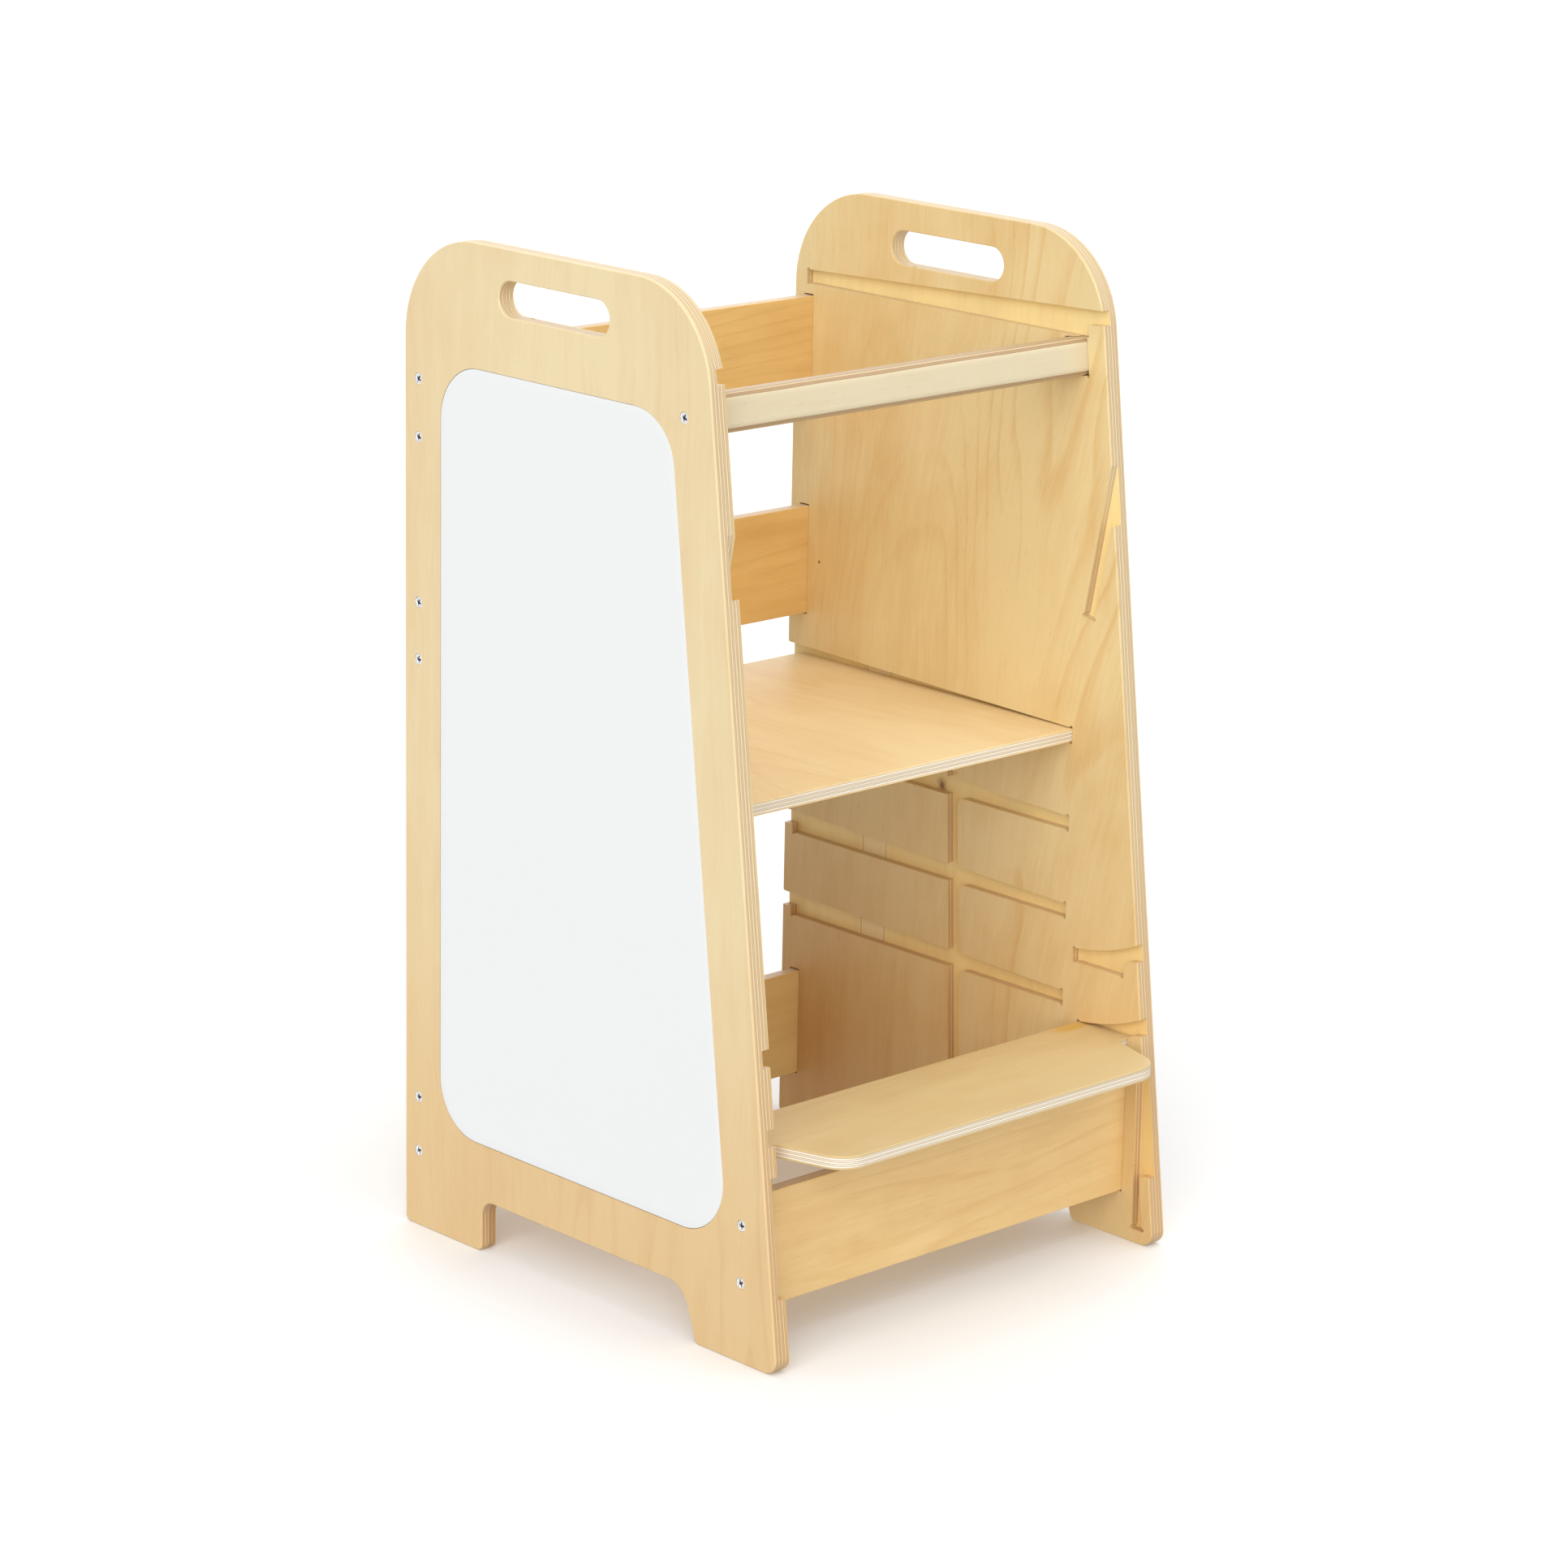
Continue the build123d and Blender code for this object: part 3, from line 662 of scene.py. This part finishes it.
class EASEL_OT_side_panels(Operator):
    """Finish the two side panels as plywood with an upright grain"""
    bl_idname = "easel.side_panels"
    bl_label = "Side panels"

    def execute(self, context):
        wood = context.scene.easel_panel_wood
        core = context.scene.easel_core
        for name, side in zip(PANELS, SIDES.values()):
            low, high = extent(name)
            thickness = high[0] - low[0]
            inner = min(abs(low[0]), abs(high[0]))
            recipe = Recipe(name + "_plywood")
            through = recipe.scale(recipe.math("ABSOLUTE", recipe.x), 1 / thickness, -inner / thickness)
            outer_face = recipe.math("GREATER_THAN", through, 0.5)
            forward = recipe.scale(recipe.y, -1.0, high[1])
            squeeze = recipe.scale(recipe.z, -wood.fan, 1.0)
            fanned = recipe.math("MULTIPLY", forward, squeeze)
            straight = recipe.scale(forward, 1.0, 1.7)
            across = recipe.add(
                recipe.math("MULTIPLY", fanned, recipe.scale(outer_face, -1.0, 1.0)),
                recipe.math("MULTIPLY", straight, outer_face),
            )
            seed = SEEDS[name]
            show = recipe.scale(recipe.step(forward, *LINES_FADE), 0.7, 0.3)
            face, fibres = face_veneer(recipe, wood, recipe.z, across, seed, 0.05, show)
            face = recipe.mix(recipe.scale(outer_face, 0.38), face, wood.outer)
            looks = facing(recipe, 2, 0)
            cut, inside, hair = ply_stack(
                recipe, wood, core, recipe.z, recipe.y, through, looks, thickness, seed)
            bare = floor_veneer(recipe, wood, core, recipe.z, recipe.y, seed)
            if side > 0:
                bare = knot_mark(recipe, bare, wood.knot, recipe.z, recipe.y)
            cut = recipe.mix(looks[1], cut, bare)
            whole = recipe.mix(inside, face, cut)
            # Darker and browner towards the bottom, on every face
            low_down = recipe.step(recipe.z, *FOOT_FADE)
            whole = recipe.shade(whole, low_down, 1.0, wood.foot)
            # Painted shade: inner faces only, darker still low down towards the rear
            rear_shade_mask = recipe.math("MULTIPLY", low_down, recipe.step(recipe.y, *REAR_SHADE_FADE))
            within = recipe.math("MULTIPLY", rear_shade_mask, recipe.scale(outer_face, -1.0, 1.0))
            recipe.set(Base_Color=recipe.shade(whole, within, 1.0, wood.rear_shade))
            lacquer(recipe, core, fibres, hair, inside)
            use_material([name], recipe.material)
        return {"FINISHED"}


class EASEL_OT_flat_boards(Operator):
    """Finish the platform and the step as plywood"""
    bl_idname = "easel.flat_boards"
    bl_label = "Platform and step"

    def execute(self, context):
        wood = context.scene.easel_board_wood
        core = context.scene.easel_core
        for name, lengthwise in (("platform", False), ("step", True)):
            low, high = extent(name)
            thickness = high[2] - low[2]
            recipe = Recipe(name + "_plywood")
            along, across = (recipe.x, recipe.y) if lengthwise else (recipe.y, recipe.x)
            through = recipe.scale(recipe.z, 1 / thickness, -low[2] / thickness)
            seed = SEEDS[name]
            face, fibres = face_veneer(recipe, wood, along, across, seed, 0.03)
            if lengthwise:
                face = recipe.shade(face, 1.0, 1.0, wood.step_tint)
                face = resin_stain(recipe, wood, face, high)
            looks = facing(recipe, 0 if lengthwise else 1, 2)
            cut, inside, hair = ply_stack(
                recipe, wood, core, recipe.x, recipe.y, through, looks, thickness, seed)
            recipe.set(Base_Color=recipe.mix(inside, face, cut))
            lacquer(recipe, core, fibres, hair, inside)
            use_material([name], recipe.material)
        return {"FINISHED"}


class EASEL_OT_rails(Operator):
    """Finish the rear rails and the board below the step, their grain along their length"""
    bl_idname = "easel.rails"
    bl_label = "Rails"

    def execute(self, context):
        wood = context.scene.easel_rail_wood
        core = context.scene.easel_core
        for name in REAR_RAILS + ("front_bottom_board",):
            low, high = extent(name)
            thickness = high[1] - low[1]
            recipe = Recipe(name + "_plywood")
            through = recipe.scale(recipe.y, 1 / thickness, -low[1] / thickness)
            seed = SEEDS[name]
            face, fibres = face_veneer(recipe, wood, recipe.x, recipe.z, seed, 0.02)
            # Painted shade on the rear rails, which sit in the tower's shade
            if name in REAR_RAILS:
                face = recipe.shade(face, 1.0, 1.0, wood.rear_rail_shade)
            looks = facing(recipe, 0, 1)
            cut, inside, hair = ply_stack(
                recipe, wood, core, recipe.x, recipe.z, through, looks, thickness, seed)
            recipe.set(Base_Color=recipe.mix(inside, face, cut))
            lacquer(recipe, core, fibres, hair, inside)
            use_material([name], recipe.material)
        return {"FINISHED"}


class EASEL_OT_front_bar(Operator):
    """Finish the rounded bar across the front, whose veneers lean with it"""
    bl_idname = "easel.front_bar"
    bl_label = "Front bar"

    def execute(self, context):
        wood = context.scene.easel_bar_wood
        core = context.scene.easel_core
        low, high = extent("front_top_rail")
        middle = (low + high) / 2
        thickness = (high[1] - low[1]) * cos(wood.lean)
        recipe = Recipe("front_top_rail_plywood")
        leaning = recipe.add(
            recipe.scale(recipe.y, cos(wood.lean), -middle[1] * cos(wood.lean)),
            recipe.scale(recipe.z, -sin(wood.lean), middle[2] * sin(wood.lean)),
        )
        through = recipe.scale(leaning, 1 / thickness, 0.5)
        seed = SEEDS["front_top_rail"]
        face, fibres = face_veneer(recipe, wood, recipe.x, recipe.z, seed, 0.01)
        looks = facing(recipe, 0, 1, (0.93, 0.985))
        cut, inside, hair = ply_stack(
            recipe, wood, core, recipe.x, recipe.z, through, looks, thickness, seed)
        recipe.set(Base_Color=recipe.mix(inside, face, cut))
        lacquer(recipe, core, fibres, hair, inside)
        use_material(["front_top_rail"], recipe.material)
        return {"FINISHED"}


def white_material(look, side, outer):
    """Satin white melamine over a fibreboard core."""
    recipe = Recipe("whiteboard_melamine")
    depth = recipe.scale(recipe.x, -side, outer * side)
    ripple = recipe.noise(recipe.scale(recipe.y, 60.0), recipe.scale(recipe.z, 60.0), 1.0, 3.0)
    clouds = recipe.noise(recipe.scale(recipe.y, 5.0), recipe.scale(recipe.z, 5.0), 4.0, 4.0)
    cloudy = recipe.mix(recipe.scale(clouds, 0.10), look.white, look.grime)
    core = recipe.step(depth, look.skin, look.skin + 0.1 * MM)
    recipe.set(
        Base_Color=recipe.mix(core, cloudy, look.core),
        Roughness=recipe.scale(ripple, 0.08, 0.26),
        Specular_IOR_Level=0.45,
    )
    recipe.bump(ripple, 0.05, 0.1 * MM)
    return recipe.material


def chalk_material(look, side, outer):
    """Matt chalkboard paint with wiped dust in wide soft sweeps."""
    recipe = Recipe("chalkboard_paint")
    depth = recipe.scale(recipe.x, -side, outer * side)
    sway = recipe.noise(recipe.scale(recipe.y, 3.0), recipe.scale(recipe.z, 3.0), 3.0)
    sweep = recipe.add(recipe.z, recipe.scale(sway, 0.08))
    wiped = recipe.noise(recipe.scale(recipe.y, 9.0), recipe.scale(sweep, 45.0), 6.0, 5.0, 0.65)
    cloud = recipe.noise(recipe.scale(recipe.y, 6.0), recipe.scale(recipe.z, 5.0), 9.0, 3.0)
    dust = recipe.math("MULTIPLY", recipe.step(wiped, 0.35, 0.8), recipe.step(cloud, 0.35, 0.75))
    grit = recipe.noise(recipe.scale(recipe.y, 1800.0), recipe.scale(recipe.z, 1800.0), 2.0, 2.0)
    painted = recipe.mix(recipe.scale(dust, 0.10), look.chalk, look.dust)
    core = recipe.step(depth, look.skin, look.skin + 0.1 * MM)
    recipe.set(
        Base_Color=recipe.mix(core, painted, look.core),
        Roughness=recipe.scale(grit, 0.1, 0.78),
        Specular_IOR_Level=0.3,
    )
    recipe.bump(grit, 0.3, 0.08 * MM)
    return recipe.material


class EASEL_OT_drawing_sheets(Operator):
    """Make the white sheet and the chalk sheet with their eased edges"""
    bl_idname = "easel.drawing_sheets"
    bl_label = "Drawing sheets"

    def execute(self, context):
        look = context.scene.easel_sheets
        lean = context.scene.easel_bar_wood.lean
        sheets = (
            ("whiteboard", -1, white_material, "whiteboard_sheet"),
            ("chalkboard", 1, chalk_material, "chalkboard_sheet"),
        )
        for name, side, make_material, slot in sheets:
            low, high = extent(name)
            thickness = high[0] - low[0]
            profile = sheet_profile(thickness, look.edge_round)
            rings = sheet_rings(low, high, side, lean, look.corner_radius, profile)
            outer = high[0] if side > 0 else low[0]
            piece = make_piece(name + "_sheet", rings, make_material(look, side, outer), BODY)
            outward(piece)
            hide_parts(name)
        return {"FINISHED"}


def steel_material(look, face_x):
    """Bright zinc plating with fine turning marks; below the face of the head, in the cross, it is coloured
    dark as dirt and painted shade.
    """
    recipe = Recipe("screw_zinc")
    sunk = recipe.scale(recipe.math("ABSOLUTE", recipe.x), -1.0, face_x)
    marks = recipe.noise(
        recipe.scale(recipe.x, 900.0), recipe.scale(recipe.y, 2400.0), recipe.scale(recipe.z, 2400.0), 3.0)
    stain = recipe.noise(
        recipe.scale(recipe.x, 260.0), recipe.scale(recipe.y, 260.0), recipe.scale(recipe.z, 260.0), 3.0)
    plated = recipe.mix(recipe.step(stain, 0.35, 0.75), look.steel, look.dull_steel)
    # Darker with depth below the face: dirt and painted shade in the recess
    recipe.set(
        Base_Color=recipe.mix(recipe.step(sunk, 0.3 * MM, 0.9 * MM), plated, look.recess_dirt_and_shade),
        Metallic=1.0,
        Roughness=recipe.scale(marks, 0.22, 0.20),
    )
    recipe.bump(marks, 0.12, 0.05 * MM)
    return recipe.material


class EASEL_OT_screws(Operator):
    """Make the countersunk screws, with a crossed recess and a thread"""
    bl_idname = "easel.screws"
    bl_label = "Screws"

    def execute(self, context):
        look = context.scene.easel_screws
        steel = steel_material(look, extent("front_top_rail_screws_right")[1][0])
        for rail in SCREWED_PIECES:
            for end, side in SIDES.items():
                node = rail + "_screws_" + end
                low, high = extent(node)
                radius = (high[1] - low[1]) / 2
                length_value = high[0] - low[0]
                head_x = high[0] if side > 0 else low[0]
                centre_y = (low[1] + high[1]) / 2
                heights = sorted({round(low[2] + radius, 5), round(high[2] - radius, 5)})
                rings = screw_rings(look, radius, length_value, 64)
                for number, height in enumerate(heights):
                    # Each cross stops at a turn of its own
                    twist = 0.35 + 1.9 * number + 0.8 * side + low[2]
                    turned = np.stack([
                        rings[..., 2] * side + head_x,
                        centre_y + rings[..., 0] * cos(twist) - rings[..., 1] * sin(twist),
                        height + rings[..., 0] * sin(twist) + rings[..., 1] * cos(twist),
                    ], axis=-1)
                    piece = make_piece("%s_%d" % (node, number + 1), turned, steel, BODY)
                    outward(piece)
                    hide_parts(node)
        return {"FINISHED"}


def soft_light(name, place, width, strength):
    """Distant soft light shining from a place towards the origin, as wide as an angle in the sky."""
    data = bpy.data.lights.new(name, "SUN")
    data.angle = width
    data.energy = strength
    lamp = bpy.data.objects.new(name, data)
    lamp.location = place
    lamp.rotation_euler = (-place).to_track_quat("-Z", "Y").to_euler()
    bpy.context.scene.collection.objects.link(lamp)


def pale_floor(look):
    """Flat round floor, worked out as rings about the origin, the smallest filled by one face.

    Scattered light passes it by, so the pieces keep their own shade underneath.
    """
    turn = np.linspace(0.0, 2 * pi, 96, endpoint=False)
    reach = np.array([0.5, 1.0, 2.0, 4.0, 8.0, 16.0, 40.0])[:, None]
    ring = np.stack([
        reach * np.cos(turn),
        reach * np.sin(turn),
        np.full((reach.size, turn.size), CAD_BOX[0][2] - 0.2 * MM),
    ], axis=-1)
    count, points = ring.shape[:2]
    row, column = np.meshgrid(np.arange(count - 1), np.arange(points), indexing="ij")
    after = (column + 1) % points
    faces = np.stack([
        row * points + column,
        (row + 1) * points + column,
        (row + 1) * points + after,
        row * points + after,
    ], axis=-1).reshape(-1, 4).tolist()
    faces.append(list(range(points)))
    mesh = bpy.data.meshes.new("floor")
    mesh.from_pydata(ring.reshape(-1, 3).tolist(), [], faces)
    recipe = Recipe("studio_floor")
    grain = recipe.noise(recipe.scale(recipe.x, 40.0), recipe.scale(recipe.y, 40.0), 0.0, 4.0)
    recipe.set(
        Base_Color=recipe.mix(recipe.scale(grain, 0.05), look.floor, look.mottle),
        Roughness=0.75,
        Specular_IOR_Level=0.2,
    )
    mesh.materials.append(recipe.material)
    floor = bpy.data.objects.new("floor", mesh)
    floor.visible_diffuse = False
    bpy.context.scene.collection.objects.link(floor)


class EASEL_OT_studio(Operator):
    """Set up the pale floor, the soft light and the camera"""
    bl_idname = "easel.studio"
    bl_label = "Studio"

    def execute(self, context):
        scene = context.scene
        look = scene.easel_studio
        pale_floor(look)
        world = bpy.data.worlds.new("studio")
        world.use_nodes = True
        background = world.node_tree.nodes["Background"]
        background.inputs["Color"].default_value = (1.0, 1.0, 1.0, 1.0)
        background.inputs["Strength"].default_value = look.world
        scene.world = world
        strengths = {"key": look.key, "fill": look.fill, "back": look.back, "top": look.top}
        for name, place in LIGHT_PLACES.items():
            soft_light(name, Vector(place), look.width, strengths[name])
        turn = look.azimuth
        tilt = look.elevation
        back = Vector((sin(turn) * cos(tilt), -cos(turn) * cos(tilt), sin(tilt)))
        right = Vector((cos(turn), sin(turn), 0.0))
        up = back.cross(right)
        rolled_right = cos(look.roll) * right + sin(look.roll) * up
        rolled_up = cos(look.roll) * up - sin(look.roll) * right
        data = bpy.data.cameras.new("camera")
        data.lens = look.lens
        data.sensor_width = 36.0
        data.shift_x, data.shift_y = CAMERA_SHIFT
        data.clip_end = 100.0
        camera = bpy.data.objects.new("camera", data)
        turned = Matrix((rolled_right, rolled_up, back)).transposed().to_4x4()
        camera.matrix_world = Matrix.Translation(Vector(CAMERA_AIM) + look.distance * back) @ turned
        scene.collection.objects.link(camera)
        scene.camera = camera
        scene.view_settings.view_transform = "Standard"
        return {"FINISHED"}


class EASEL_PT_sidebar(Panel):
    """Sizes, colours and steps of the easel tower"""
    bl_label = "Kids easel tower"
    bl_idname = "EASEL_PT_sidebar"
    bl_space_type = "VIEW_3D"
    bl_region_type = "UI"
    bl_category = "Easel"

    def draw(self, context):
        for operator in OPERATORS:
            self.layout.operator(operator.bl_idname)
        for attribute, group in SETTINGS.items():
            box = self.layout.box()
            box.label(text=group.__doc__)
            for name in group.__annotations__:
                box.prop(getattr(context.scene, attribute), name)


OPERATORS = (
    EASEL_OT_side_panels,
    EASEL_OT_flat_boards,
    EASEL_OT_rails,
    EASEL_OT_front_bar,
    EASEL_OT_drawing_sheets,
    EASEL_OT_screws,
    EASEL_OT_studio,
)


def register():
    for kind in (*SETTINGS.values(), *OPERATORS, EASEL_PT_sidebar):
        bpy.utils.register_class(kind)
    for attribute, group in SETTINGS.items():
        setattr(bpy.types.Scene, attribute, PointerProperty(type=group))


def unregister():
    for attribute in SETTINGS:
        delattr(bpy.types.Scene, attribute)
    for kind in reversed((*SETTINGS.values(), *OPERATORS, EASEL_PT_sidebar)):
        bpy.utils.unregister_class(kind)


def main():
    register()
    bpy.ops.easel.side_panels()
    bpy.ops.easel.flat_boards()
    bpy.ops.easel.rails()
    bpy.ops.easel.front_bar()
    bpy.ops.easel.drawing_sheets()
    bpy.ops.easel.screws()
    bpy.ops.easel.studio()


if __name__ == "__main__":
    main()
